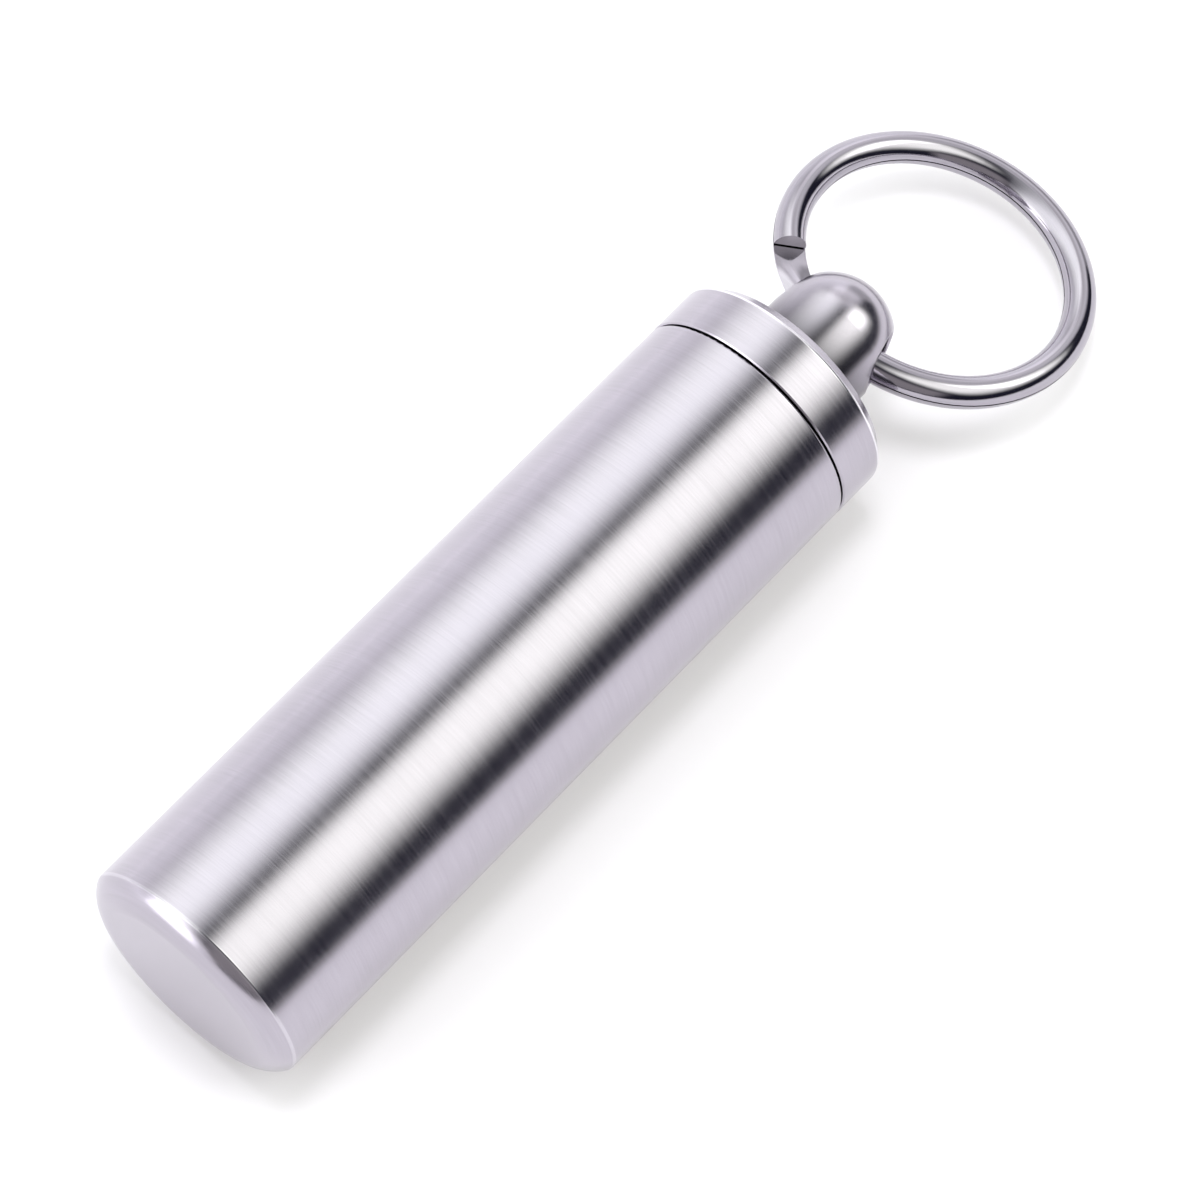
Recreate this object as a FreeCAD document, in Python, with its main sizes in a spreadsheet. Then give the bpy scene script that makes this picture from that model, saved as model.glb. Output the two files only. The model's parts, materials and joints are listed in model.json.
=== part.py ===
import FreeCAD, Part
import math
import os
import re

import Sketcher

# A pill fob lying on its side: a tube closed at one end, a screw cap with a domed knob,
# a rubber seal between them and a split ring through the knob.
# The tube runs along +X from the centre of its flat base, which is the origin, and +Z is up.
# Lengths are in millimetres and angles in degrees.

SIZES = (
    ("body_diameter", 15.0, "outside of the tube and of the cap"),
    ("tube_length", 47.22, "flat base to the rim of the mouth"),
    ("base_round_width", 1.9, "radial width of the rounded edge of the base"),
    ("base_round_height", 1.12, "height of the rounded edge of the base"),
    ("base_edge_break", 0.15, "radius on the crease where the side meets the rounded edge"),
    ("base_wall", 2.0, "thickness of the closed end"),
    ("rim_round", 0.18, "radius on the outside of the mouth"),
    ("chamber_wall", 1.8, "wall round the chamber that holds the pills"),
    ("chamber_corner", 0.8, "radius in the bottom corner of the chamber"),
    ("relief_width", 1.6, "groove where the inner thread runs out"),
    ("thread_wall", 0.98, "wall left outside the root of the inner thread"),
    ("thread_pitch", 1.5, "travel of the cap in one turn"),
    ("thread_depth", 0.6, "height of the thread above its core"),
    ("thread_crest", 0.35, "width of the thread at its crest"),
    ("thread_flank", 0.35, "width of each flank, along the axis"),
    ("thread_clearance", 0.12, "play between the threads, radial and along the axis"),
    ("thread_sink", 0.15, "how far the foot of the outer thread reaches into its core"),
    ("plug_length", 7.0, "underside of the cap's head to the tip of the plug"),
    ("plug_lead", 0.3, "depth of the lead-in at the tip of the plug, below the core"),
    ("neck_run", 0.34, "plain neck between the seal and the thread"),
    ("seat_wall", 0.69, "wall left outside the seat of the seal"),
    ("seal_section", 1.0, "thickness of the seal, as pressed"),
    ("seal_clearance", 0.03, "play between the seal and its seats"),
    ("seam_gap", 0.13, "open seam between the rim and the cap's head"),
    ("head_height", 3.05, "straight side of the cap's head"),
    ("head_chamfer", 0.65, "chamfer above the side of the head"),
    ("head_edge_break", 0.2, "radius on the crease between the side and its chamfer"),
    ("head_lower_chamfer", 0.08, "chamfer on the lower edge of the head"),
    ("knob_diameter", 7.6, "straight side and dome of the knob"),
    ("knob_straight", 3.8, "top of the head to the start of the dome"),
    ("knob_root", 0.4, "radius where the knob meets the head"),
    ("hole_clearance", 0.06, "play round the ring in the cross hole"),
    ("hole_rise", 0.8, "centre of the cross hole above the start of the dome"),
    ("hole_lip", 0.15, "radius on the mouths of the cross hole"),
    ("hole_roll", 6.0, "turn of the cross hole about the axis, from level"),
    ("ring_diameter", 20.0, "outside of the split ring"),
    ("wire_width", 1.95, "width of the ring's wire, along its radius"),
    ("wire_height", 0.95, "height of one turn of the ring's wire"),
    ("turn_gap", 0.1, "gap between the two turns"),
    ("ramp_angle", 50.0, "arc of the ring in which the wire climbs from turn to turn"),
    ("end_angle", 49.0, "arc from the cross hole to the upper end of the wire"),
    ("ring_shift", 1.1, "sideways place of the ring's centre along the cross hole"),
    ("lean_angle", 16.2, "lean of the ring below the axis of the tube"),
)

# Derived sizes, as formulas on the sheet
BODY_RADIUS = "(body_diameter / 2)"
BASE_FLAT_RADIUS = f"({BODY_RADIUS} - base_round_width)"
BASE_ARC_RADIUS = "((base_round_width^2 + base_round_height^2) / (2 * base_round_height))"
CHAMBER_RADIUS = f"({BODY_RADIUS} - chamber_wall)"
INNER_ROOT_RADIUS = f"({BODY_RADIUS} - thread_wall)"
THREAD_RADIUS = f"({INNER_ROOT_RADIUS} - thread_clearance)"
CORE_RADIUS = f"({THREAD_RADIUS} - thread_depth)"
INNER_CREST_RADIUS = f"({CORE_RADIUS} + thread_clearance)"
SEAL_SPACE = "(seal_section + 2 * seal_clearance)"
SEAT_RADIUS = f"({BODY_RADIUS} - seat_wall)"
NECK_RADIUS = f"({SEAT_RADIUS} - {SEAL_SPACE})"
SEAT_DEPTH = f"({SEAL_SPACE} - seam_gap)"
NECK_LENGTH = f"({SEAL_SPACE} + neck_run)"
HEAD_X = "(tube_length + seam_gap)"
HEAD_TOP = "(head_height + head_chamfer)"
KNOB_RADIUS = "(knob_diameter / 2)"
DOME_X = f"({HEAD_TOP} + knob_straight)"
HOLE_X = f"({DOME_X} + hole_rise)"

# The outer thread starts half a pitch below the tip of the plug, and the inner thread in its relief
# starts level with it. The cap is turned by hole_roll, so its thread lags by that part of a pitch.
OUTER_THREAD_START = "(-plug_length - thread_pitch / 2)"
INNER_THREAD_START = f"({HEAD_X} + {OUTER_THREAD_START} - thread_pitch * hole_roll / 360)"
OUTER_THREAD_LENGTH = f"(plug_length - {NECK_LENGTH} + thread_pitch)"
INNER_THREAD_LENGTH = f"(tube_length - {INNER_THREAD_START})"

# The cross hole is as wide as the ring's arc needs over its length, and the wire lies in its middle.
RING_RADIUS = "(ring_diameter / 2)"
WIRE_MIDDLE = f"({RING_RADIUS} - wire_width / 2)"
HOLE_REACH = f"({KNOB_RADIUS} - hole_lip + ring_shift)"
HOLE_INNER = f"sqrt(({RING_RADIUS} - wire_width)^2 - {HOLE_REACH}^2)"
HOLE_DIAMETER = f"({RING_RADIUS} - {HOLE_INNER} + 2 * hole_clearance)"
RING_REACH = f"(({RING_RADIUS} + {HOLE_INNER}) / 2)"
RING_TURN = "(ramp_angle - end_angle - 180)"
DOUBLE_ANGLE = "(360 - ramp_angle)"

RAMP_STEPS = 4
FULL_TURN = 360.0
TOLERANCE = 0.001


doc = FreeCAD.newDocument("PillFob")
sheet = doc.addObject("Spreadsheet::Sheet", "Sizes")


def fill_sheet():
    for row, (name, size, meaning) in enumerate(SIZES, start=1):
        sheet.set(f"A{row}", name)
        sheet.set(f"B{row}", str(size))
        sheet.setAlias(f"B{row}", name)
        sheet.set(f"C{row}", meaning)
    doc.recompute()


def bound(formula):
    """A formula with every size pointing at the sheet."""
    names = {name for name, _, _ in SIZES}
    return re.sub(r"[a-z_]+", lambda word: f"Sizes.{word[0]}" if word[0] in names else word[0], formula)


def number(formula):
    """What a formula comes to with the sizes on the sheet."""
    answer = sheet.evalExpression(formula)
    return float(getattr(answer, "Value", answer))


def origin_plane(body, role):
    return next(plane for plane in body.Origin.OriginFeatures if plane.Role == role)


def new_sketch(body, name, role):
    sketch = body.newObject("Sketcher::SketchObject", name)
    sketch.AttachmentSupport = [(origin_plane(body, role), "")]
    sketch.MapMode = "FlatFace"
    return sketch


def hold(sketch, kind, geometry, point, formula):
    """Place one coordinate of a point from a formula."""
    if formula == "0":
        axis = -2 if kind == "DistanceX" else -1
        sketch.addConstraint(Sketcher.Constraint("PointOnObject", geometry, point, axis))
        return
    row = sketch.addConstraint(Sketcher.Constraint(kind, -1, 1, geometry, point, number(formula)))
    sketch.setExpression(f"Constraints[{row}]", bound(formula))


def draw_outline(sketch, corners, arcs=None):
    """Draw a closed outline through corners given as formulas.

    arcs maps a side to its arc's centre, as two formulas, and to True where the arc runs anticlockwise.
    """
    arcs = arcs or {}
    places = [FreeCAD.Vector(number(along), number(up), 0) for along, up in corners]
    sides = []
    for side, start in enumerate(places):
        finish = places[(side + 1) % len(places)]
        if side not in arcs:
            sides.append((sketch.addGeometry(Part.LineSegment(start, finish)), 1, 2))
            continue
        (centre_along, centre_up), anticlockwise = arcs[side]
        centre = FreeCAD.Vector(number(centre_along), number(centre_up), 0)
        first, last = (start, finish) if anticlockwise else (finish, start)
        circle = Part.Circle(centre, FreeCAD.Vector(0, 0, 1), (start - centre).Length)
        angles = [math.atan2(point.y - centre.y, point.x - centre.x) for point in (first, last)]
        arc = sketch.addGeometry(Part.ArcOfCircle(circle, *angles))
        sides.append((arc, 1, 2) if anticlockwise else (arc, 2, 1))
        hold(sketch, "DistanceY", arc, 3, centre_up)
    for side, (geometry, start, _) in enumerate(sides):
        before, _, finish = sides[side - 1]
        sketch.addConstraint(Sketcher.Constraint("Coincident", before, finish, geometry, start))
        hold(sketch, "DistanceX", geometry, start, corners[side][0])
        hold(sketch, "DistanceY", geometry, start, corners[side][1])


def outline(body, name, role, corners, arcs=None):
    sketch = new_sketch(body, name, role)
    draw_outline(sketch, corners, arcs)
    return sketch


def add_feature(body, kind, name, profile=None, axis=None, settings=None, sizes=None):
    """Add a feature to a body, with plain settings and with sizes bound to the sheet."""
    feature = body.newObject(f"PartDesign::{kind}", name)
    if profile is not None:
        feature.Profile = profile
        profile.Visibility = False
    if axis is not None:
        feature.ReferenceAxis = (profile, [axis])
    for setting, choice in (settings or {}).items():
        setattr(feature, setting, choice)
    for size, formula in (sizes or {}).items():
        feature.setExpression(size, bound(formula))
    doc.recompute()
    return feature


def dress(body, kind, name, base, edges, size, formula):
    """Round or chamfer named edges of a feature."""
    return add_feature(body, kind, name, settings={"Base": (base, edges)}, sizes={size: formula})


def round_edges(shape, along, radius):
    """Names of the circular edges about X at a place and radius, both given as formulas."""
    place, size = number(along), number(radius)
    names = []
    for row, edge in enumerate(shape.Edges, start=1):
        if edge.Degenerated:
            continue
        circle = edge.Curve
        if circle.TypeId != "Part::GeomCircle" or abs(circle.Radius - size) > TOLERANCE:
            continue
        if abs(circle.Center.x - place) < TOLERANCE:
            names.append(f"Edge{row}")
    return names


def hole_edges(shape, radius):
    """Names of the edges round the mouths of the cross hole."""
    size = number(radius)
    mouths = []
    for face in shape.Faces:
        surface = face.Surface
        if surface.TypeId != "Part::GeomCylinder" or abs(surface.Radius - size) > TOLERANCE:
            continue
        if abs(abs(surface.Axis.y) - 1) < TOLERANCE:
            mouths += [edge for edge in face.Edges if edge.Curve.TypeId != "Part::GeomLine"]
    return [
        f"Edge{row}"
        for row, edge in enumerate(shape.Edges, start=1)
        if any(edge.isSame(mouth) for mouth in mouths)
    ]


def check_cut(before, after):
    if after.Shape.Volume > before.Shape.Volume - TOLERANCE:
        raise RuntimeError(f"{after.Name} removed nothing")


def thread_profile(body, name, start, tip, foot):
    """The section of a thread: tip and foot are its radius and half its width there."""
    (tip_radius, tip_half), (foot_radius, foot_half) = tip, foot
    corners = [
        (f"({start} - {tip_half})", tip_radius),
        (f"({start} + {tip_half})", tip_radius),
        (f"({start} + {foot_half})", foot_radius),
        (f"({start} - {foot_half})", foot_radius),
    ]
    return outline(body, name, "XY_Plane", corners)


def make_tube():
    body = doc.addObject("PartDesign::Body", "tube")
    seat_x = f"(tube_length - {SEAT_DEPTH})"
    relief_top = f"({INNER_THREAD_START} + relief_width / 2)"
    relief_bottom = f"({INNER_THREAD_START} - relief_width / 2)"
    corners = [
        ("0", "0"),
        ("0", BASE_FLAT_RADIUS),
        ("base_round_height", BODY_RADIUS),
        ("tube_length", BODY_RADIUS),
        ("tube_length", SEAT_RADIUS),
        (seat_x, SEAT_RADIUS),
        (seat_x, INNER_CREST_RADIUS),
        (relief_top, INNER_CREST_RADIUS),
        (relief_top, INNER_ROOT_RADIUS),
        (relief_bottom, INNER_ROOT_RADIUS),
        (relief_bottom, CHAMBER_RADIUS),
        ("base_wall", CHAMBER_RADIUS),
        ("base_wall", "0"),
    ]
    base_arc = {1: ((BASE_ARC_RADIUS, BASE_FLAT_RADIUS), False)}
    profile = outline(body, "tube_profile", "XY_Plane", corners, base_arc)
    turned = add_feature(body, "Revolution", "tube_turned", profile, "H_Axis", {"Angle": FULL_TURN})
    rim = round_edges(turned.Shape, "tube_length", BODY_RADIUS)
    eased = dress(body, "Fillet", "tube_rim", turned, rim, "Radius", "rim_round")
    corner = round_edges(eased.Shape, "base_wall", CHAMBER_RADIUS)
    bored = dress(body, "Fillet", "tube_chamber_corner", eased, corner, "Radius", "chamber_corner")
    crease = round_edges(bored.Shape, "base_round_height", BODY_RADIUS)
    broken = dress(body, "Fillet", "tube_base_crease", bored, crease, "Radius", "base_edge_break")
    root_half = "(thread_crest / 2 + thread_clearance - thread_flank * thread_clearance / thread_depth)"
    mouth_half = "(thread_crest / 2 + thread_flank + thread_clearance)"
    groove = thread_profile(
        body,
        "tube_thread_profile",
        INNER_THREAD_START,
        (INNER_ROOT_RADIUS, root_half),
        (CORE_RADIUS, mouth_half),
    )
    tapped = add_feature(
        body,
        "SubtractiveHelix",
        "tube_thread",
        groove,
        "H_Axis",
        {"Mode": "pitch-height-angle"},
        {"Pitch": "thread_pitch", "Height": INNER_THREAD_LENGTH},
    )
    check_cut(broken, tapped)
    return body


def make_cap():
    body = doc.addObject("PartDesign::Body", "cap")
    dome_top = f"({DOME_X} + {KNOB_RADIUS})"
    corners = [
        ("-plug_length", "0"),
        ("-plug_length", CORE_RADIUS),
        ("0", CORE_RADIUS),
        ("0", BODY_RADIUS),
        (HEAD_TOP, BODY_RADIUS),
        (HEAD_TOP, KNOB_RADIUS),
        (DOME_X, KNOB_RADIUS),
        (dome_top, "0"),
    ]
    dome_arc = {6: ((DOME_X, "0"), False)}
    profile = outline(body, "cap_profile", "XY_Plane", corners, dome_arc)
    turned = add_feature(body, "Revolution", "cap_turned", profile, "H_Axis", {"Angle": FULL_TURN})
    top = round_edges(turned.Shape, HEAD_TOP, BODY_RADIUS)
    shoulder = dress(body, "Chamfer", "cap_shoulder", turned, top, "Size", "head_chamfer")
    lower = round_edges(shoulder.Shape, "0", BODY_RADIUS)
    edged = dress(body, "Chamfer", "cap_lower_edge", shoulder, lower, "Size", "head_lower_chamfer")
    crease = round_edges(edged.Shape, "head_height", BODY_RADIUS)
    broken = dress(body, "Fillet", "cap_shoulder_crease", edged, crease, "Radius", "head_edge_break")
    root = round_edges(broken.Shape, HEAD_TOP, KNOB_RADIUS)
    rooted = dress(body, "Fillet", "cap_knob_root", broken, root, "Radius", "knob_root")

    hole_sketch = new_sketch(body, "cap_hole_profile", "XZ_Plane")
    circle = Part.Circle(FreeCAD.Vector(number(HOLE_X), 0, 0), FreeCAD.Vector(0, 0, 1), 1)
    hole = hole_sketch.addGeometry(circle)
    hold(hole_sketch, "DistanceX", hole, 3, HOLE_X)
    hold(hole_sketch, "DistanceY", hole, 3, "0")
    row = hole_sketch.addConstraint(Sketcher.Constraint("Diameter", hole, number(HOLE_DIAMETER)))
    hole_sketch.setExpression(f"Constraints[{row}]", bound(HOLE_DIAMETER))
    through = {"SideType": "Symmetric", "Type": "ThroughAll"}
    drilled = add_feature(body, "Pocket", "cap_hole", hole_sketch, settings=through)
    check_cut(rooted, drilled)
    mouths = hole_edges(drilled.Shape, f"{HOLE_DIAMETER} / 2")
    eased = dress(body, "Fillet", "cap_hole_lips", drilled, mouths, "Radius", "hole_lip")

    foot_half = "(thread_crest / 2 + thread_flank * (1 + thread_sink / thread_depth))"
    ridge = thread_profile(
        body,
        "cap_thread_profile",
        OUTER_THREAD_START,
        (THREAD_RADIUS, "(thread_crest / 2)"),
        (f"({CORE_RADIUS} - thread_sink)", foot_half),
    )
    threaded = add_feature(
        body,
        "AdditiveHelix",
        "cap_thread",
        ridge,
        "H_Axis",
        {"Mode": "pitch-height-angle"},
        {"Pitch": "thread_pitch", "Height": OUTER_THREAD_LENGTH},
    )

    # The thread is turned away from the neck, and the tip of the plug gets a lead-in at 45 degrees
    tip_radius = f"({CORE_RADIUS} - plug_lead)"
    outside = f"({THREAD_RADIUS} + plug_lead)"
    below_tip = "(-plug_length - 2 * thread_pitch)"
    lead_end = "(-plug_length + thread_depth + 2 * plug_lead)"
    trim = new_sketch(body, "cap_plug_trim_profile", "XY_Plane")
    draw_outline(trim, [
        (f"-{NECK_LENGTH}", NECK_RADIUS),
        ("0", NECK_RADIUS),
        ("0", outside),
        (f"-{NECK_LENGTH}", outside),
    ])
    draw_outline(trim, [
        (below_tip, tip_radius),
        ("-plug_length", tip_radius),
        (lead_end, outside),
        (below_tip, outside),
    ])
    trimmed = add_feature(body, "Groove", "cap_plug_trim", trim, "H_Axis", {"Angle": FULL_TURN})
    check_cut(threaded, trimmed)
    place = f"create(<<vector>>; {HEAD_X}; 0; 0)"
    turn = "create(<<rotation>>; 0; 0; hole_roll)"
    body.setExpression("Placement", bound(f"create(<<placement>>; {place}; {turn})"))
    return body


def make_seal():
    seal = doc.addObject("Part::Torus", "o_ring")
    seal.setExpression("Radius1", bound(f"{NECK_RADIUS} + seal_clearance + seal_section / 2"))
    seal.setExpression("Radius2", bound("seal_section / 2"))
    place = f"create(<<vector>>; {HEAD_X} - seal_clearance - seal_section / 2; 0; 0)"
    turn = "create(<<rotation>>; 0; 90; 0)"
    seal.setExpression("Placement", bound(f"create(<<placement>>; {place}; {turn})"))
    return seal


def wire_section(body, name, climb, angle):
    """The wire's section at a share of its climb: half round at each end and a lens midway."""
    inner = f"({RING_RADIUS} - wire_width)"
    level = f"(turn_gap * {climb - 0.5})"
    rises = (f"(wire_height * {climb})", f"(-wire_height * {1 - climb})")
    arcs = {}
    for side, (rise, share) in enumerate(zip(rises, (climb, 1 - climb))):
        if share > 0:
            centre = f"({level} + ({rise} - wire_width^2 / (4 * {rise})) / 2)"
            arcs[side] = ((WIRE_MIDDLE, centre), False)
    sketch = outline(body, name, "XZ_Plane", [(inner, level), (RING_RADIUS, level)], arcs)
    sketch.AttachmentOffset = FreeCAD.Placement(
        FreeCAD.Vector(), FreeCAD.Rotation(FreeCAD.Vector(0, 1, 0), number(angle))
    )
    sketch.setExpression("AttachmentOffset.Rotation.Angle", bound(angle))
    return sketch


def make_ring():
    body = doc.addObject("PartDesign::Body", "split_ring")
    sweep = {"Angle": DOUBLE_ANGLE}
    lower = wire_section(body, "ring_lower_section", 0.0, "0")
    add_feature(body, "Revolution", "ring_lower_turn", lower, "V_Axis", sizes=sweep)
    sections = []
    for step in range(RAMP_STEPS + 1):
        share = step / RAMP_STEPS
        climb = share * share * (3 - 2 * share)
        angle = f"({DOUBLE_ANGLE} + ramp_angle * {share})"
        sections.append(wire_section(body, f"ring_ramp_section_{step}", climb, angle))
    add_feature(body, "AdditiveLoft", "ring_ramp", sections[0], settings={"Sections": sections[1:]})
    upper = wire_section(body, "ring_upper_section", 1.0, "0")
    add_feature(body, "Revolution", "ring_upper_turn", upper, "V_Axis", sizes=sweep)
    hinge = f"create(<<vector>>; {HEAD_X} + {HOLE_X}; 0; 0)"
    lean = "create(<<rotation>>; 0; 0; hole_roll) * create(<<rotation>>; 0; lean_angle; 0)"
    centre = f"create(<<vector>>; {RING_REACH}; -ring_shift; 0)"
    turn = f"create(<<rotation>>; {RING_TURN}; 0; 0)"
    swing = f"create(<<placement>>; {hinge}; {lean})"
    body.setExpression("Placement", bound(f"{swing} * create(<<placement>>; {centre}; {turn})"))
    return body


def check_document():
    for item in doc.Objects:
        if "Invalid" in item.State or "Error" in item.State:
            raise RuntimeError(f"{item.Name} failed: {item.State}")


def write_parts(parts):
    os.makedirs("parts", exist_ok=True)
    for part in parts:
        shape = part.Shape
        if shape.isNull() or not shape.isValid() or len(shape.Solids) != 1:
            raise RuntimeError(f"{part.Label} is not one valid solid")
    for part in parts:
        part.Shape.exportStep(f"parts/{part.Label}.step")
        print(f"{part.Label}: {part.Shape.Volume:.2f} mm3")


fill_sheet()
pieces = [make_tube(), make_cap(), make_seal(), make_ring()]
doc.recompute()
check_document()
write_parts(pieces)
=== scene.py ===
import json
import math
from typing import NamedTuple

import bmesh
import bpy
from bpy.props import FloatProperty, FloatVectorProperty, PointerProperty
from mathutils import Matrix, Vector


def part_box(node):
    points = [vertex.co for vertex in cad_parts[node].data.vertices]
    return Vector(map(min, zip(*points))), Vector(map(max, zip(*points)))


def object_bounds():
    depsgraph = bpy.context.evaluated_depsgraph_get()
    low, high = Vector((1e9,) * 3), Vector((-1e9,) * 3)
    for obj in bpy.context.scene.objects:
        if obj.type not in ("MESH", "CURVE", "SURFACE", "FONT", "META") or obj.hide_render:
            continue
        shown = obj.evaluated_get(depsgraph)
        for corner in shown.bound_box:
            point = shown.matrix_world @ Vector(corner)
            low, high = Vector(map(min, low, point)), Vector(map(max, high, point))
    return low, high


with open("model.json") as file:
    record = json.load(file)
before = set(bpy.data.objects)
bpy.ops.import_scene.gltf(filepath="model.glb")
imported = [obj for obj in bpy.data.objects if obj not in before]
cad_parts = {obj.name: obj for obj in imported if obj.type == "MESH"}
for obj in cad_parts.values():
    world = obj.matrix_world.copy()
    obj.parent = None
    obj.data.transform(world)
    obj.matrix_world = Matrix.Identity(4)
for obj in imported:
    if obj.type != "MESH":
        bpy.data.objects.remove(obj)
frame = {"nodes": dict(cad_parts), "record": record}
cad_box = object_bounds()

# Finishes, table, lamps and camera for a pill fob that lies on a pale table.
# The fob runs along +X from its flat base, +Z is up and lengths are in metres.

bl_info = {
    "name": "Pill Fob",
    "version": (1, 0, 0),
    "blender": (4, 5, 0),
    "location": "3D View > Sidebar > Pill Fob",
    "description": "Finishes a brushed pill fob with its key ring and sets its table and lamps",
    "category": "Object",
}

MM = 0.001
PER_MM = 1 / MM
BLACK = (0.0, 0.0, 0.0)
WHITE = (1.0, 1.0, 1.0)


def mount(name):
    return next(entry for entry in frame["record"]["mounts"] if entry["name"] == name)


RING_CENTRE = Vector(mount("ring_loop")["pos_m"])
RING_NORMAL = Vector(mount("ring_loop")["axis"]).normalized()
TUBE_LOW, TUBE_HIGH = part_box("tube")
CAP_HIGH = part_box("cap")[1]
BODY_RADIUS = TUBE_HIGH.z
RING_LOW, RING_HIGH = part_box("split_ring")
RING_REACH = (RING_HIGH.x - RING_LOW.x) / 2

# Shares of the brush lines and of the cloudy patches in the steel's tone, and the tone taken off them
FINE_TONE = 0.8
BROAD_TONE = 0.2
CLOUD_TONE = 0.5
TONE_DROP = 0.28

# Shares of the brush lines in the steel's relief, and what they and the patches add to its blur
FINE_RELIEF = 0.6
BROAD_RELIEF = 0.35
FINE_BLUR = 0.14
CLOUD_BLUR = 0.06

# Cloudy patches for each millimetre, along the fob and across it
TUBE_CLOUDS = (0.09, 0.12)
CAP_CLOUDS = (0.15, 0.2)
RING_CLOUDS = (0.25, 0.25)

# The bored chamber: where it starts above the base and how softly, in millimetres, its tone and its blur
CHAMBER_START = 1.5
CHAMBER_BLEND = 0.3
BORE_BLEND = 0.1
BORE_TONE = 0.25
BORE_BLUR = 0.08

# The painted highlights along the outer edges: the share of their half width that is fully bright, the half
# widths below the outside at which they start and are full, and their shares of the bright colour
HIGHLIGHT_CORE = 0.4
HIGHLIGHT_START = 3
HIGHLIGHT_FULL = 2
BASE_HIGHLIGHT = 0.3
RIM_HIGHLIGHT = 0.8
SHOULDER_HIGHLIGHT = 1.0

# The plug: how softly it starts, in millimetres, its darker tone and its smoother surface
PLUG_BLEND = 0.2
PLUG_TONE = 0.15
PLUG_SHINE = 0.06

# The knob: how softly it starts, in millimetres, its tone and the grain of its satin
KNOB_BLEND = 0.4
KNOB_TONE = 0.18
GRAIN_FINENESS = 9.0
GRAIN_DETAIL = 3.0
GRAIN_TONE = 0.35
GRAIN_BLUR = 0.1
GRAIN_RELIEF = 0.2

# The foot of the knob, darkened by painted shade and made rougher: where it starts and ends, in millimetres
# from the knob's start
FOOT_START = -0.5
FOOT_END = 4.6
FOOT_SHADE = 0.95
FOOT_BLUR = 0.04

# The rubber: patches of bloom for each millimetre, where the bloom shows, and its blur
BLOOM_SCALE = 0.8
BLOOM_DETAIL = 4.0
BLOOM_START = 0.4
BLOOM_END = 0.75
RUBBER_BLUR = 0.5
BLOOM_BLUR = 0.25
RUBBER_RELIEF = 0.1

# The ring's wire: how fast its drawing marks change with height, and shares of its tone and blur
MARK_SLANT = 1.7
MARK_TONE = 0.8
RING_CLOUD_TONE = 0.9
RING_TONE_DROP = 0.3
MARK_BLUR = 0.06
RING_CLOUD_BLUR = 0.08

# Keeps the radius above nothing on the fob's axis
AXIS_GUARD = 1e-6


class Wire:
    """One shader value that adds and multiplies like a number."""

    def __init__(self, finish, socket):
        self.finish = finish
        self.socket = socket

    def __add__(self, other):
        return self.finish.math("ADD", self, other)

    def __radd__(self, other):
        return self.finish.math("ADD", other, self)

    def __sub__(self, other):
        return self.finish.math("SUBTRACT", self, other)

    def __rsub__(self, other):
        return self.finish.math("SUBTRACT", other, self)

    def __mul__(self, other):
        return self.finish.math("MULTIPLY", self, other)

    def __rmul__(self, other):
        return self.finish.math("MULTIPLY", other, self)

    def __truediv__(self, other):
        return self.finish.math("DIVIDE", self, other)

    def __rtruediv__(self, other):
        return self.finish.math("DIVIDE", other, self)


class Finish:
    """The nodes of one material, of a lamp or of the world."""

    def __init__(self, owner):
        owner.use_nodes = True
        self.tree = owner.node_tree
        self.tree.nodes.clear()

    def node(self, kind, settings=None, sockets=None):
        """Add a node: its settings first, then a value or a wire for each socket."""
        made = self.tree.nodes.new(kind)
        for name, choice in (settings or {}).items():
            setattr(made, name, choice)
        for name, given in (sockets or {}).items():
            if isinstance(given, Wire):
                self.tree.links.new(given.socket, made.inputs[name])
            else:
                made.inputs[name].default_value = given
        return made

    def wire(self, kind, output, settings=None, sockets=None):
        return Wire(self, self.node(kind, settings, sockets).outputs[output])

    def math(self, operation, *given):
        return self.wire("ShaderNodeMath", 0, {"operation": operation}, dict(enumerate(given)))

    def split(self, vector):
        """The X, Y and Z of a vector."""
        made = self.node("ShaderNodeSeparateXYZ", sockets={0: vector})
        return [Wire(self, made.outputs[axis]) for axis in "XYZ"]

    def place(self):
        """X, Y and Z on the object, in millimetres."""
        point = self.wire("ShaderNodeTexCoord", "Object")
        return [part * PER_MM for part in self.split(point)]

    def vector(self, x, y, z):
        return self.wire("ShaderNodeCombineXYZ", 0, sockets={0: x, 1: y, 2: z})

    def noise(self, vector, detail=2.0):
        """Noise of one unit scale, about 0.5."""
        sockets = {"Vector": vector, "Scale": 1.0, "Detail": detail, "Roughness": 0.5}
        return self.wire("ShaderNodeTexNoise", 0, {"noise_dimensions": "3D"}, sockets)

    def patches(self, x, y, z, along, across, detail=2.0):
        """Noise with so many patches for each unit along X and across it."""
        return self.noise(self.vector(x * along, y * across, z * across), detail)

    def ramp(self, value, start, end):
        """0 before start and 1 after end, with a smooth step between them."""
        sockets = {"Value": value, "From Min": start, "From Max": end, "To Min": 0.0, "To Max": 1.0}
        return self.wire("ShaderNodeMapRange", 0, {"interpolation_type": "SMOOTHSTEP"}, sockets)

    def blend(self, share, first, second):
        """A colour between two others."""
        sockets = {0: share, 6: first, 7: second}
        return self.wire("ShaderNodeMix", 2, {"data_type": "RGBA", "clamp_factor": True}, sockets)

    def bump(self, height, depth):
        sockets = {"Strength": 1.0, "Distance": depth, "Height": height}
        return self.wire("ShaderNodeBump", 0, sockets=sockets)

    def surface(self, sockets):
        shader = self.wire("ShaderNodeBsdfPrincipled", 0, sockets=sockets)
        self.node("ShaderNodeOutputMaterial", sockets={"Surface": shader})


def colour(values):
    return (*values, 1.0)


def change(noise, span):
    """A noise as a change of up to half a span either way."""
    return (noise - 0.5) * span


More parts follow.
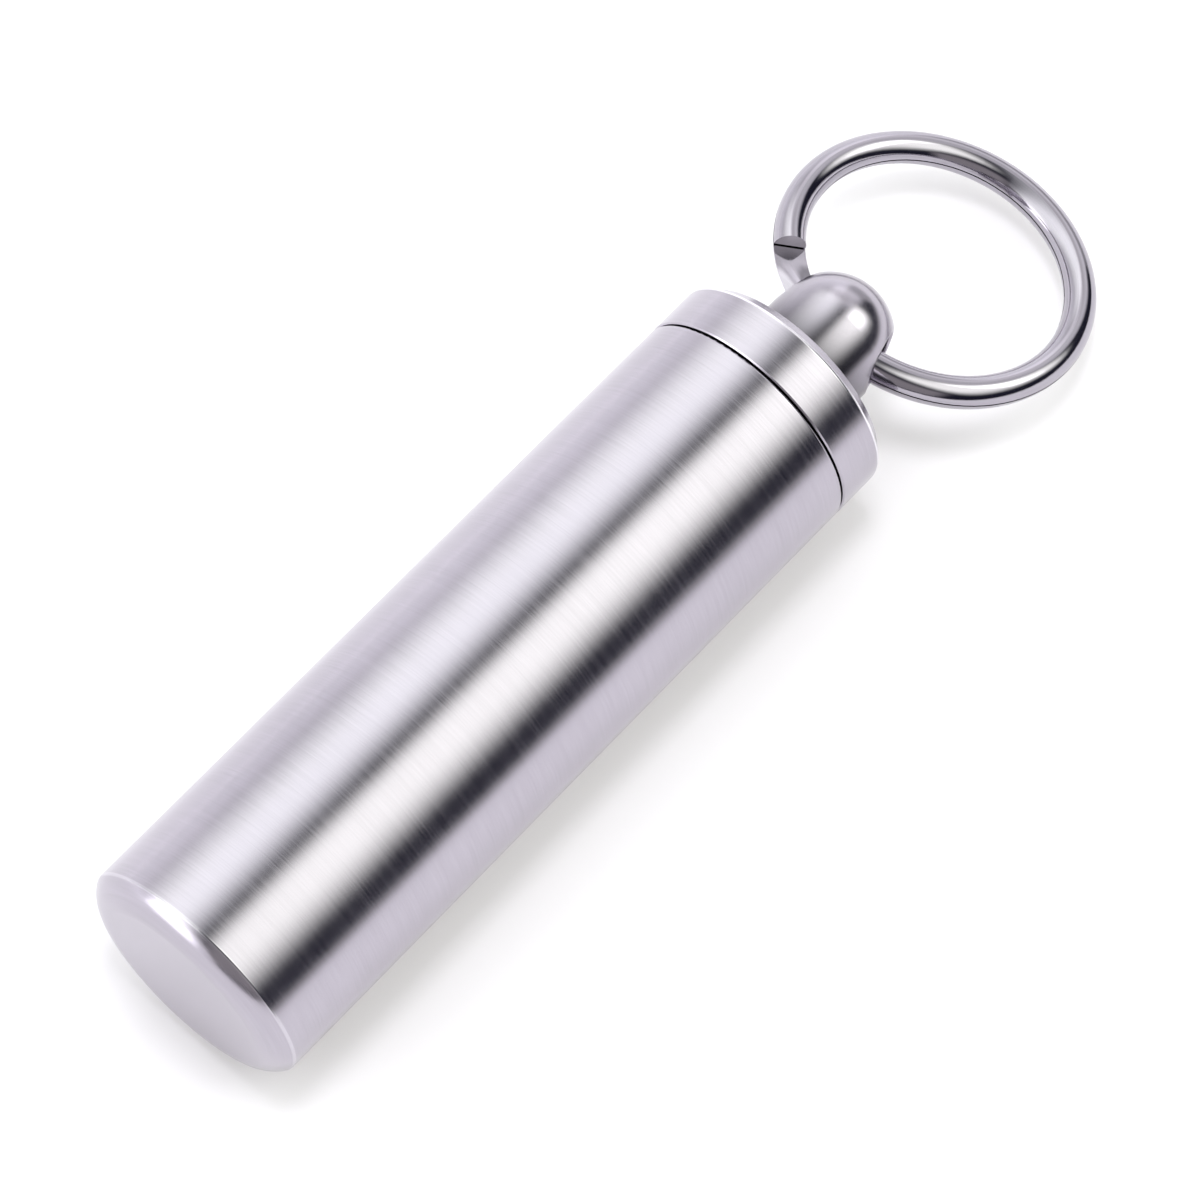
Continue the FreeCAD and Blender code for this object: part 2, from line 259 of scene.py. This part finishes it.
def brushed_round(finish, x, y, z, slope, look):
    """Fine and broad brush lines that run round the axis of the fob, each about 0.5.

    The lines follow x on a side and the radius on an end face: slope is 1 where the radius grows with x
    and -1 where it shrinks.
    """
    radius = finish.math("SQRT", y * y + z * z + AXIS_GUARD)
    along = x + slope * radius
    lines = []
    for pitch, streak in ((look.fine_pitch, look.fine_streak), (look.broad_pitch, look.broad_streak)):
        turn = BODY_RADIUS / streak
        vector = finish.vector(along * (MM / pitch), y / radius * turn, z / radius * turn)
        lines.append(finish.noise(vector))
    return radius, lines


def painted_edge_highlight(finish, x, radius, places, look):
    """How strongly the outer edges are painted with a highlight.

    Each place along the fob has its share, and the rest has none.
    """
    width = look.edge_highlight_width * PER_MM
    edges = 0.0
    for place, share in places:
        away = finish.math("ABSOLUTE", x - place * PER_MM)
        edges = (1.0 - finish.ramp(away, width * HIGHLIGHT_CORE, width)) * share + edges
    outside = BODY_RADIUS * PER_MM
    return edges * finish.ramp(radius, outside - HIGHLIGHT_START * width, outside - HIGHLIGHT_FULL * width)


class SteelLook(bpy.types.PropertyGroup):
    """Brushed steel of the tube and the cap."""

    tint: FloatVectorProperty(
        name="Tint", description="Colour of the steel", subtype="COLOR", size=3, min=0, max=1,
        default=(0.515, 0.483, 0.547),
    )
    shade: FloatVectorProperty(
        name="Shade", description="Colour in the darker brush lines", subtype="COLOR", size=3, min=0, max=1,
        default=(0.39, 0.366, 0.414),
    )
    # Painted highlight: the bright colour blended in along the creases of the base, rim and shoulder
    bright: FloatVectorProperty(
        name="Bright", description="Colour of the highlighted edges", subtype="COLOR", size=3, min=0, max=1,
        default=(0.84, 0.82, 0.87),
    )
    # Painted shade on the foot of the knob, where it rises from the cap
    painted_foot_shade: FloatVectorProperty(
        name="Dull", description="Colour of the shaded foot of the knob", subtype="COLOR", size=3,
        min=0, max=1, default=(0.055, 0.052, 0.058),
    )
    # Half width of the painted highlights along the edges
    edge_highlight_width: FloatProperty(
        name="Highlight Width", description="Half the width of the highlighted edges", unit="LENGTH",
        default=0.13 * MM,
    )
    base_crease: FloatProperty(
        name="Base Crease", description="Height of the crease round the base", unit="LENGTH",
        default=1.12 * MM,
    )
    shoulder: FloatProperty(
        name="Shoulder", description="Depth of the cap's shoulder below the top of the knob", unit="LENGTH",
        default=8.25 * MM,
    )
    roughness: FloatProperty(
        name="Roughness", description="Blur of reflections in the brushed steel", subtype="FACTOR",
        min=0, max=1, default=0.2,
    )
    satin: FloatProperty(
        name="Satin Knob", description="Blur of reflections in the knob", subtype="FACTOR",
        min=0, max=1, default=0.2,
    )
    fine_pitch: FloatProperty(
        name="Fine Pitch", description="Width of the fine brush lines", unit="LENGTH", default=0.075 * MM,
    )
    fine_streak: FloatProperty(
        name="Fine Streak", description="Length of the fine brush lines", unit="LENGTH", default=4.0 * MM,
    )
    broad_pitch: FloatProperty(
        name="Broad Pitch", description="Width of the broad brush lines", unit="LENGTH", default=0.35 * MM,
    )
    broad_streak: FloatProperty(
        name="Broad Streak", description="Length of the broad brush lines", unit="LENGTH", default=7.0 * MM,
    )
    depth: FloatProperty(
        name="Line Depth", description="Depth of the brush lines", unit="LENGTH", precision=6,
        default=0.0045 * MM,
    )
    bore_wall: FloatProperty(
        name="Bore Wall", description="Depth below the outside at which the bored finish starts",
        unit="LENGTH", default=0.5 * MM,
    )
    knob_height: FloatProperty(
        name="Knob Height", description="Length of the satin knob at the end of the cap", unit="LENGTH",
        default=7.6 * MM,
    )


class RingLook(bpy.types.PropertyGroup):
    """Polished wire of the split ring."""

    tint: FloatVectorProperty(
        name="Tint", description="Colour of the plated wire", subtype="COLOR", size=3, min=0, max=1,
        default=(0.432, 0.407, 0.46),
    )
    shade: FloatVectorProperty(
        name="Shade", description="Colour in the drawing marks", subtype="COLOR", size=3, min=0, max=1,
        default=(0.37, 0.349, 0.394),
    )
    roughness: FloatProperty(
        name="Roughness", description="Blur of reflections in the wire", subtype="FACTOR",
        min=0, max=1, default=0.1,
    )
    mark_pitch: FloatProperty(
        name="Mark Pitch", description="Width of the drawing marks along the wire", unit="LENGTH",
        default=0.16 * MM,
    )
    mark_length: FloatProperty(
        name="Mark Length", description="Length of the drawing marks along the wire", unit="LENGTH",
        default=4.0 * MM,
    )
    depth: FloatProperty(
        name="Mark Depth", description="Depth of the drawing marks", unit="LENGTH", precision=6,
        default=0.002 * MM,
    )


class SealLook(bpy.types.PropertyGroup):
    """Black rubber of the seal."""

    tint: FloatVectorProperty(
        name="Tint", description="Colour of the rubber", subtype="COLOR", size=3, min=0, max=1,
        default=(0.022, 0.022, 0.024),
    )
    bloom: FloatVectorProperty(
        name="Bloom", description="Colour of the dusty bloom on the rubber", subtype="COLOR", size=3,
        min=0, max=1, default=(0.06, 0.06, 0.062),
    )
    grain: FloatProperty(
        name="Grain", description="Size of the moulded grain", unit="LENGTH", default=0.08 * MM,
    )


class StageLook(bpy.types.PropertyGroup):
    """Table, lamps and camera."""

    paper: FloatVectorProperty(
        name="Paper", description="Colour of the table and its upturned edge", subtype="COLOR", size=3,
        min=0, max=1, default=(0.79, 0.777, 0.834),
    )
    lift: FloatVectorProperty(
        name="Lift", description="Light added to the table where it is seen or mirrored", subtype="COLOR",
        size=3, min=0, max=1, default=(0.21, 0.205, 0.18),
    )
    far_lift: FloatProperty(
        name="Far Lift", description="Light added to the table far behind the fob", default=0.9, min=0,
    )
    reach: FloatProperty(
        name="Reach", description="Radius of the flat part of the table", unit="LENGTH", default=0.9,
    )
    near_edge: FloatProperty(
        name="Near Edge", description="Height of the upturned edge on the camera's side", unit="LENGTH",
        default=0.04,
    )
    far_edge: FloatProperty(
        name="Far Edge", description="Height of the upturned edge behind the fob", unit="LENGTH",
        default=1.4,
    )
    fade_start: FloatProperty(
        name="Fade Start", description="Height at which the upturned edge starts to darken", unit="LENGTH",
        default=0.12,
    )
    fade_end: FloatProperty(
        name="Fade End", description="Height at which the upturned edge is black", unit="LENGTH",
        default=1.05,
    )
    fall: FloatProperty(
        name="Fall", description="Share of its light that the table loses on the camera's side",
        subtype="FACTOR", min=0, max=1, default=0.54,
    )
    fall_start: FloatProperty(
        name="Fall Start", description="Distance at which the camera's side starts to darken", unit="LENGTH",
        default=0.075,
    )
    fall_end: FloatProperty(
        name="Fall End", description="Distance at which the camera's side is darkest", unit="LENGTH",
        default=0.19,
    )
    room: FloatVectorProperty(
        name="Room", description="Colour of the room above the table", subtype="COLOR", size=3, min=0, max=1,
        default=(0.022, 0.022, 0.04),
    )
    lamp_distance: FloatProperty(
        name="Lamp Distance", description="Distance of the lamps from the fob's axis", unit="LENGTH",
        default=0.6,
    )
    lens: FloatProperty(
        name="Lens", description="Focal length of the camera", default=169.6, min=1,
    )


class PillFobLook(bpy.types.PropertyGroup):
    """All sizes and colours of the fob's looks."""

    steel: PointerProperty(type=SteelLook)
    ring: PointerProperty(type=RingLook)
    seal: PointerProperty(type=SealLook)
    stage: PointerProperty(type=StageLook)


def dress(node, material):
    """Give a solid of the frame its finish."""
    solid = frame["nodes"][node]
    if not solid.material_slots:
        raise RuntimeError(f"{node} has no material slot")
    for slot in solid.material_slots:
        slot.material = material


class TubeFinish(bpy.types.Operator):
    """Brush the tube round its axis and give its chamber a bored finish"""

    bl_idname = "pill_fob.tube"
    bl_label = "Finish Tube"

    def execute(self, context):
        look = context.scene.pill_fob.steel
        material = bpy.data.materials.new("brushed_tube")
        finish = Finish(material)
        x, y, z = finish.place()
        radius, (fine, broad) = brushed_round(finish, x, y, z, 1.0, look)
        bore_radius = (BODY_RADIUS - look.bore_wall) * PER_MM
        bored = 1.0 - finish.ramp(radius, bore_radius - BORE_BLEND, bore_radius)
        inside = bored * finish.ramp(x, CHAMBER_START, CHAMBER_START + CHAMBER_BLEND)
        cloud = finish.patches(x, y, z, *TUBE_CLOUDS)
        lines = fine * FINE_TONE + broad * BROAD_TONE
        share = lines + cloud * CLOUD_TONE - TONE_DROP - inside * BORE_TONE
        steel = finish.blend(share, colour(look.shade), colour(look.tint))
        # Painted highlights along the crease round the base and along the tube's rim
        places = ((look.base_crease, BASE_HIGHLIGHT), (TUBE_HIGH.x, RIM_HIGHLIGHT))
        edges = painted_edge_highlight(finish, x, radius, places, look)
        blur = look.roughness + change(fine, FINE_BLUR) + change(cloud, CLOUD_BLUR) + inside * BORE_BLUR
        finish.surface({
            "Base Color": finish.blend(edges, steel, colour(look.bright)),
            "Metallic": 1.0,
            "Roughness": blur,
            "Normal": finish.bump(fine * FINE_RELIEF + broad * BROAD_RELIEF, look.depth),
        })
        dress("tube", material)
        return {"FINISHED"}


class CapFinish(bpy.types.Operator):
    """Brush the cap round its axis, turn its plug bright and blast its knob satin"""

    bl_idname = "pill_fob.cap"
    bl_label = "Finish Cap"

    def execute(self, context):
        look = context.scene.pill_fob.steel
        material = bpy.data.materials.new("brushed_cap")
        finish = Finish(material)
        x, y, z = finish.place()
        radius, (fine, broad) = brushed_round(finish, x, y, z, -1.0, look)
        knob_start = (CAP_HIGH.x - look.knob_height) * PER_MM
        knob = finish.ramp(x, knob_start, knob_start + KNOB_BLEND)
        brushed = 1.0 - knob
        # The knob's foot: darker by painted shade, and rougher
        foot = (1.0 - finish.ramp(x, knob_start + FOOT_START, knob_start + FOOT_END)) * knob
        mouth = TUBE_HIGH.x * PER_MM
        plug = 1.0 - finish.ramp(x, mouth, mouth + PLUG_BLEND)
        grain = finish.patches(x, y, z, GRAIN_FINENESS, GRAIN_FINENESS, GRAIN_DETAIL)
        cloud = finish.patches(x, y, z, *CAP_CLOUDS)
        lines = fine * FINE_TONE + broad * BROAD_TONE
        satin = KNOB_TONE + grain * GRAIN_TONE
        share = lines * brushed + satin * knob + cloud * CLOUD_TONE - TONE_DROP - plug * PLUG_TONE
        steel = finish.blend(share, colour(look.shade), colour(look.tint))
        # Painted shade darkens the foot of the knob
        steel = finish.blend(foot * FOOT_SHADE, steel, colour(look.painted_foot_shade))
        # A painted highlight along the crease of the cap's shoulder
        places = ((CAP_HIGH.x - look.shoulder, SHOULDER_HIGHLIGHT),)
        edges = painted_edge_highlight(finish, x, radius, places, look)
        turned_blur = look.roughness + change(fine, FINE_BLUR)
        satin_blur = look.satin + change(grain, GRAIN_BLUR) + foot * FOOT_BLUR
        relief = (fine * FINE_RELIEF + broad * BROAD_RELIEF) * brushed + grain * GRAIN_RELIEF * knob
        finish.surface({
            "Base Color": finish.blend(edges, steel, colour(look.bright)),
            "Metallic": 1.0,
            "Roughness": turned_blur * brushed + satin_blur * knob - plug * PLUG_SHINE,
            "Normal": finish.bump(relief, look.depth),
        })
        dress("cap", material)
        return {"FINISHED"}


class SealFinish(bpy.types.Operator):
    """Give the seal a moulded black rubber with a faint bloom"""

    bl_idname = "pill_fob.seal"
    bl_label = "Finish Seal"

    def execute(self, context):
        look = context.scene.pill_fob.seal
        material = bpy.data.materials.new("seal_rubber")
        finish = Finish(material)
        x, y, z = finish.place()
        scale = MM / look.grain
        grain = finish.patches(x, y, z, scale, scale, GRAIN_DETAIL)
        bloom = finish.patches(x, y, z, BLOOM_SCALE, BLOOM_SCALE, BLOOM_DETAIL)
        dusty = finish.ramp(bloom, BLOOM_START, BLOOM_END)
        finish.surface({
            "Base Color": finish.blend(dusty, colour(look.tint), colour(look.bloom)),
            "Roughness": RUBBER_BLUR + bloom * BLOOM_BLUR + change(grain, GRAIN_BLUR),
            "Normal": finish.bump(grain, look.grain * RUBBER_RELIEF),
        })
        dress("o_ring", material)
        return {"FINISHED"}


class RingFinish(bpy.types.Operator):
    """Polish the split ring and leave faint drawing marks along its wire"""

    bl_idname = "pill_fob.ring"
    bl_label = "Finish Ring"

    def execute(self, context):
        look = context.scene.pill_fob.ring
        material = bpy.data.materials.new("polished_ring")
        finish = Finish(material)
        point = finish.wire("ShaderNodeTexCoord", "Object")
        arm = finish.wire(
            "ShaderNodeVectorMath", 0, {"operation": "SUBTRACT"}, {0: point, 1: RING_CENTRE}
        )
        height = finish.wire(
            "ShaderNodeVectorMath", "Value", {"operation": "DOT_PRODUCT"}, {0: arm, 1: RING_NORMAL}
        )
        reach = finish.wire("ShaderNodeVectorMath", "Value", {"operation": "LENGTH"}, {0: arm})
        spoke = finish.wire("ShaderNodeVectorMath", 0, {"operation": "NORMALIZE"}, {0: arm})
        turn = RING_REACH / look.mark_length
        round_x, round_y, round_z = [part * turn for part in finish.split(spoke)]
        across = (reach + height * MARK_SLANT) * (1 / look.mark_pitch)
        marks = finish.noise(finish.vector(across + round_x, round_y, round_z))
        cloud = finish.patches(*finish.place(), *RING_CLOUDS)
        share = marks * MARK_TONE + cloud * RING_CLOUD_TONE - RING_TONE_DROP
        finish.surface({
            "Base Color": finish.blend(share, colour(look.shade), colour(look.tint)),
            "Metallic": 1.0,
            "Roughness": look.roughness + change(marks, MARK_BLUR) + change(cloud, RING_CLOUD_BLUR),
            "Normal": finish.bump(marks, look.depth),
        })
        dress("split_ring", material)
        return {"FINISHED"}


FORWARD = Vector((1, 0, 0))
LEFT = Vector((0, 1, 0))
UP = Vector((0, 0, 1))


class Lamp(NamedTuple):
    """One soft lamp.

    It runs along one way and turns about it, with angles that count up from a level way. It brightens and
    fades between four places along its run, in metres, and between four angles, in degrees. A lamp that
    isn't mirrored gives light and shadow, and doesn't show in the steel.
    """

    name: str
    run: Vector
    level: Vector
    brightness: float
    tint: tuple
    along: tuple
    about: tuple
    mirrored: bool = True


LAMPS = (
    Lamp("near_lamp", FORWARD, LEFT, 2.2, (0.97, 1.0, 0.9), (-0.2, 0.1, 0.7, 1.1), (91, 112, 125, 162)),
    Lamp("far_lamp", FORWARD, LEFT, 2.0, (0.97, 1.0, 0.96), (-1.0, -0.7, 0.3, 0.65), (18, 52, 62, 96)),
    Lamp("side_lamp", LEFT, -FORWARD, 2.2, WHITE, (0.05, 0.15, 0.5, 0.65), (0, 4, 24, 34)),
    Lamp("knob_lamp", FORWARD, LEFT, 1.9, WHITE, (0.3, 0.4, 0.56, 0.72), (100, 113, 127, 148)),
    Lamp("fill_lamp", LEFT, -FORWARD, 0.4, (1.0, 0.95, 0.92), (-1.1, -0.7, -0.12, 0.08), (0, 12, 50, 75)),
    Lamp("key_lamp", FORWARD, LEFT, 18.0, WHITE, (-0.1, -0.05, 0.05, 0.1), (81, 86, 94, 99), False),
    Lamp("end_lamp", -LEFT, FORWARD, 0.9, WHITE, (-0.5, -0.3, 0.0, 0.12), (12, 25, 45, 60)),
)

# The table: its spokes, the rings of its flat part as shares of its reach, and the steps of its edge
TABLE_SPOKES = 96
TABLE_RINGS = (0.04, 0.15, 0.4, 0.7, 1.0)
EDGE_STEPS = 12
EDGE_SPREAD = 0.3

# The sine of the direction at which the table's edge starts to rise, and the span in which it does so
RISE_START = -0.15
RISE_SPAN = 0.4

# How much a step along the fob counts beside a step across it, where the table grows lighter or darker
LIFT_SLANT = 0.6
FALL_SLANT = 0.5

# The camera: its right-hand way, the way it looks, its place and its sensor, in millimetres
CAMERA_RIGHT = Vector((0.6657, -0.7461, 0.0))
CAMERA_LOOK = Vector((0.3294, 0.2939, -0.8972))
CAMERA_SPOT = Vector((-0.07314, -0.0962, 0.2894))
CAMERA_SENSOR = 36.0
CAMERA_CLIP = 0.01


class FobStage(bpy.types.Operator):
    """Set the table, the lamps and the camera"""

    bl_idname = "pill_fob.stage"
    bl_label = "Set Stage"

    def execute(self, context):
        look = context.scene.pill_fob.stage
        scene = context.scene
        scene.view_settings.view_transform = "Standard"
        self.lay_table(scene, look)
        self.light_room(scene, look)
        self.place_camera(scene, look)
        return {"FINISHED"}

    def lay_table(self, scene, look):
        """A round table of paper whose edge turns up, higher behind the fob than on the camera's side."""
        mesh = bpy.data.meshes.new("table")
        shape = bmesh.new()
        floor = TUBE_LOW.z
        steps = [(look.reach * share, 0.0) for share in TABLE_RINGS]
        for step in range(1, EDGE_STEPS + 1):
            bend = math.pi / 2 * step / EDGE_STEPS
            steps.append((look.reach * (1 + EDGE_SPREAD * math.sin(bend)), 1 - math.cos(bend)))
        rings = []
        for radius, rise in steps:
            ring = []
            for spoke in range(TABLE_SPOKES):
                angle = 2 * math.pi * spoke / TABLE_SPOKES
                edge = self.edge_height(angle, look)
                spot = (radius * math.cos(angle), radius * math.sin(angle), floor + rise * edge)
                ring.append(shape.verts.new(spot))
            rings.append(ring)
        middle = shape.verts.new((0, 0, floor))
        for spoke in range(TABLE_SPOKES):
            after = (spoke + 1) % TABLE_SPOKES
            shape.faces.new((middle, rings[0][spoke], rings[0][after]))
            for inner, outer in zip(rings, rings[1:]):
                shape.faces.new((inner[spoke], outer[spoke], outer[after], inner[after]))
        for face in shape.faces:
            face.smooth = True
        shape.to_mesh(mesh)
        shape.free()
        table = bpy.data.objects.new("table", mesh)
        scene.collection.objects.link(table)
        mesh.materials.append(self.table_paper(look))

    def edge_height(self, angle, look):
        """Height of the table's upturned edge in one direction."""
        far = min(max((math.sin(angle) - RISE_START) / RISE_SPAN, 0.0), 1.0)
        share = far * far * (3 - 2 * far)
        return look.near_edge + (look.far_edge - look.near_edge) * share

    def table_paper(self, look):
        """Pale paper that is lifted towards white where it is seen or mirrored."""
        material = bpy.data.materials.new("table_paper")
        finish = Finish(material)
        light = finish.node("ShaderNodeLightPath")
        seen = Wire(finish, light.outputs["Is Camera Ray"])
        for ray in ("Is Glossy Ray", "Is Transmission Ray"):
            seen = finish.math("MAXIMUM", seen, Wire(finish, light.outputs[ray]))
        x, y, z = finish.place()
        # Painted shade: the paper darkens to black up its raised edge and on the camera's side
        high = finish.ramp(z, look.fade_start * PER_MM, look.fade_end * PER_MM)
        beyond = finish.ramp(x * FALL_SLANT - y, look.fall_start * PER_MM, look.fall_end * PER_MM)
        dusk = 1.0 - (1.0 - high) * (1.0 - beyond * look.fall)
        shade = finish.blend(dusk, colour(look.paper), colour(BLACK))
        paper = finish.wire("ShaderNodeBsdfDiffuse", 0, sockets={"Color": shade})
        away = finish.ramp(y + finish.math("ABSOLUTE", x) * LIFT_SLANT, 0.0, look.reach * PER_MM)
        lift = finish.blend(away, colour(look.lift), colour([look.far_lift] * 3))
        glow_colour = finish.blend(dusk, lift, colour(BLACK))
        glow = finish.wire("ShaderNodeEmission", 0, sockets={"Color": glow_colour})
        lifted = finish.wire("ShaderNodeAddShader", 0, sockets={0: paper, 1: glow})
        shown = finish.wire("ShaderNodeMixShader", 0, sockets={0: seen, 1: paper, 2: lifted})
        finish.node("ShaderNodeOutputMaterial", sockets={"Surface": shown})
        return material

    def light_room(self, scene, look):
        """A dim room and soft lamps round the fob, with dark gaps between them."""
        world = bpy.data.worlds.new("room")
        scene.world = world
        finish = Finish(world)
        dim = finish.wire("ShaderNodeBackground", 0, sockets={"Color": colour(look.room), "Strength": 1.0})
        finish.node("ShaderNodeOutputWorld", sockets={"Surface": dim})
        middle = (cad_box[0] + cad_box[1]) / 2
        for plan in LAMPS:
            first, last = plan.along[0], plan.along[-1]
            length = last - first
            middle_angle = math.radians(plan.about[0] + plan.about[-1]) / 2
            rises = [
                look.lamp_distance * math.tan(math.radians(angle) - middle_angle) for angle in plan.about
            ]
            width = 2 * rises[-1]
            lamp = bpy.data.lights.new(plan.name, "AREA")
            lamp.shape = "RECTANGLE"
            lamp.size = length
            lamp.size_y = width
            lamp.color = plan.tint
            lamp.energy = plan.brightness * math.pi * length * width
            self.soften(
                lamp,
                [(place - first) / length for place in plan.along],
                [0.5 - rise / width for rise in rises],
            )
            lamp_object = bpy.data.objects.new(plan.name, lamp)
            lamp_object.visible_glossy = plan.mirrored
            out = math.cos(middle_angle) * plan.level + math.sin(middle_angle) * UP
            turn = Matrix((plan.run, out.cross(plan.run), out)).transposed()
            spot = middle + (first + last) / 2 * plan.run + look.lamp_distance * out
            lamp_object.matrix_world = Matrix.Translation(spot) @ turn.to_4x4()
            scene.collection.objects.link(lamp_object)

    def soften(self, lamp, along, across):
        """Let a lamp fade towards its edges."""
        finish = Finish(lamp)
        place = finish.wire("ShaderNodeNewGeometry", "Parametric")
        spot_along, spot_across, _ = finish.split(place)
        share = 1.0
        for spot, (dark, bright, full, end) in ((spot_along, along), (spot_across, across)):
            share = finish.ramp(spot, dark, bright) * finish.ramp(spot, end, full) * share
        shine = finish.blend(share, colour(BLACK), colour(WHITE))
        glow = finish.wire("ShaderNodeEmission", 0, sockets={"Color": shine})
        finish.node("ShaderNodeOutputLight", sockets={"Surface": glow})

    def place_camera(self, scene, look):
        camera = bpy.data.cameras.new("camera")
        camera.lens = look.lens
        camera.sensor_width = CAMERA_SENSOR
        camera.clip_start = CAMERA_CLIP
        camera_object = bpy.data.objects.new("camera", camera)
        right = CAMERA_RIGHT.normalized()
        forward = CAMERA_LOOK.normalized()
        turn = Matrix((right, right.cross(forward), -forward)).transposed()
        camera_object.matrix_world = Matrix.Translation(CAMERA_SPOT) @ turn.to_4x4()
        scene.collection.objects.link(camera_object)
        scene.camera = camera_object


class FobPanel(bpy.types.Panel):
    """Steps that dress the fob"""

    bl_idname = "VIEW3D_PT_pill_fob"
    bl_label = "Pill Fob"
    bl_space_type = "VIEW_3D"
    bl_region_type = "UI"
    bl_category = "Pill Fob"

    def draw(self, context):
        for step in STEPS:
            self.layout.operator(step.bl_idname)


LOOKS = (SteelLook, RingLook, SealLook, StageLook, PillFobLook)
STEPS = (TubeFinish, CapFinish, SealFinish, RingFinish, FobStage)


def register():
    for kind in (*LOOKS, *STEPS, FobPanel):
        bpy.utils.register_class(kind)
    bpy.types.Scene.pill_fob = PointerProperty(type=PillFobLook)


def unregister():
    del bpy.types.Scene.pill_fob
    for kind in reversed((*LOOKS, *STEPS, FobPanel)):
        bpy.utils.unregister_class(kind)


def main():
    register()
    bpy.ops.pill_fob.tube()
    bpy.ops.pill_fob.cap()
    bpy.ops.pill_fob.seal()
    bpy.ops.pill_fob.ring()
    bpy.ops.pill_fob.stage()


if __name__ == "__main__":
    main()
